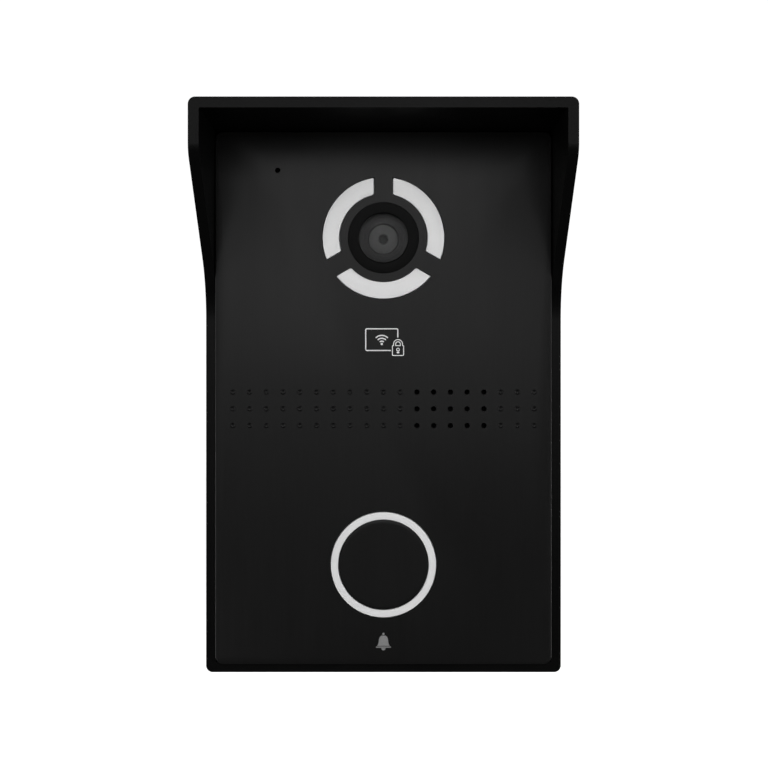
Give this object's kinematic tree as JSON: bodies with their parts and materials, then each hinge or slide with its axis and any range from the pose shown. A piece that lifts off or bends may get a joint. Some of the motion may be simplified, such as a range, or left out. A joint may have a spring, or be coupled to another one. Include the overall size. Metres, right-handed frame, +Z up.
{
  "type": "video doorbell",
  "caption": "Surface-mounted video door station with a rain hood, a camera ringed by light windows, a speaker grille and one large ring-lit call button.",
  "frame": {"origin": "centre of the housing's flat back, on the wall plane", "axes": "+Z up, +Y into the wall, the front and the call button face -Y, +X to the right of someone facing the station"},
  "size_m": [0.107, 0.084, 0.1656],
  "materials": {
    "housing_black": "fine-textured black powder coat, satin",
    "plate_black": "brushed and black anodised, satin",
    "cap_black": "fine satin black",
    "black_plastic": "moulded, lightly textured",
    "bezel_black": "smooth black",
    "rubber_black": "matt",
    "foam_grey": "woven acoustic cloth and foam",
    "diffuser_white": "milky translucent, unlit",
    "glass_dark": "polished",
    "steel": "bright zinc-plated or stainless",
    "lens_black": "black anodised, satin",
    "aluminium": "satin metal",
    "copper": "etched copper track",
    "lead_red": "insulated twin lead",
    "ribbon_amber": "amber film",
    "board_green": "solder mask",
    "chip_black": "moulded epoxy",
    "led_white": "lamp body with pale phosphor",
    "relay_blue": "moulded",
    "terminal_green": "moulded",
    "cone_paper": "coated paper cone",
    "tamper_white": "moulded"
  },
  "bodies": {
    "station": {"acoustic_mesh": "foam_grey", "board_screw_1": "steel", "board_screw_2": "steel", "board_screw_3": "steel", "board_screw_4": "steel", "button_board": "board_green", "button_holder": "black_plastic", "button_light_ring": "diffuser_white", "button_screw_left": "steel", "button_screw_right": "steel", "button_spring": "steel", "camera_board": "board_green", "camera_ribbon": "ribbon_amber", "camera_screw_left": "steel", "camera_screw_right": "steel", "camera_window": "glass_dark", "case_gasket": "rubber_black", "case_screw_1": "steel", "case_screw_2": "steel", "case_screw_3": "steel", "case_screw_4": "steel", "front_plate": "plate_black", "heat_sink": "aluminium", "hood_housing": "housing_black", "image_sensor": "chip_black", "lens_barrel": "lens_black", "lens_front_element": "glass_dark", "lens_holder": "black_plastic", "light_board": "board_green", "light_diffuser": "diffuser_white", "light_led_1": "led_white", "light_led_2": "led_white", "light_led_3": "led_white", "lock_relay": "relay_blue", "lock_screw_left": "steel", "lock_screw_right": "steel", "main_board": "board_green", "microphone_boot": "rubber_black", "microphone_capsule": "aluminium", "network_jack": "aluminium", "power_capacitor": "aluminium", "processor_chip": "chip_black", "reader_antenna": "copper", "rear_case": "black_plastic", "ring_led_left": "led_white", "ring_led_right": "led_white", "speaker_basket": "black_plastic", "speaker_clamp": "steel", "speaker_gasket": "foam_grey", "speaker_lead": "lead_red", "speaker_magnet": "aluminium", "switch_body": "black_plastic", "tamper_switch": "black_plastic", "terminal_block": "terminal_green", "window_bezel": "bezel_black"},
    "button": {"button_cap": "cap_black"},
    "switch": {"switch_plunger": "cap_black"},
    "tamper": {"tamper_plunger": "tamper_white"},
    "speaker_diaphragm": {"speaker_cone": "cone_paper"}
  },
  "joints": [
    {"name": "call_button_press", "type": "slide", "parent": "station", "child": "button", "axis": [0, 1, 0], "range_m": [0, 0.001], "stiffness_N_per_m": 600, "springref_m": -0.0005, "deforming": ["button_spring"]},
    {"name": "switch_press", "type": "slide", "parent": "station", "child": "switch", "axis": [0, 1, 0], "range_m": [0, 0.001]},
    {"name": "tamper_press", "type": "slide", "parent": "station", "child": "tamper", "axis": [0, -1, 0], "range_m": [0, 0.0012], "stiffness_N_per_m": 300, "springref_m": -0.0005},
    {"name": "cone_excursion", "type": "slide", "parent": "station", "child": "speaker_diaphragm", "axis": [0, -1, 0], "range_m": [-0.0005, 0.0005], "stiffness_N_per_m": 400}
  ],
  "couplings": [
    {"joint": "switch_press", "follows": "call_button_press", "ratio": 1}
  ]
}
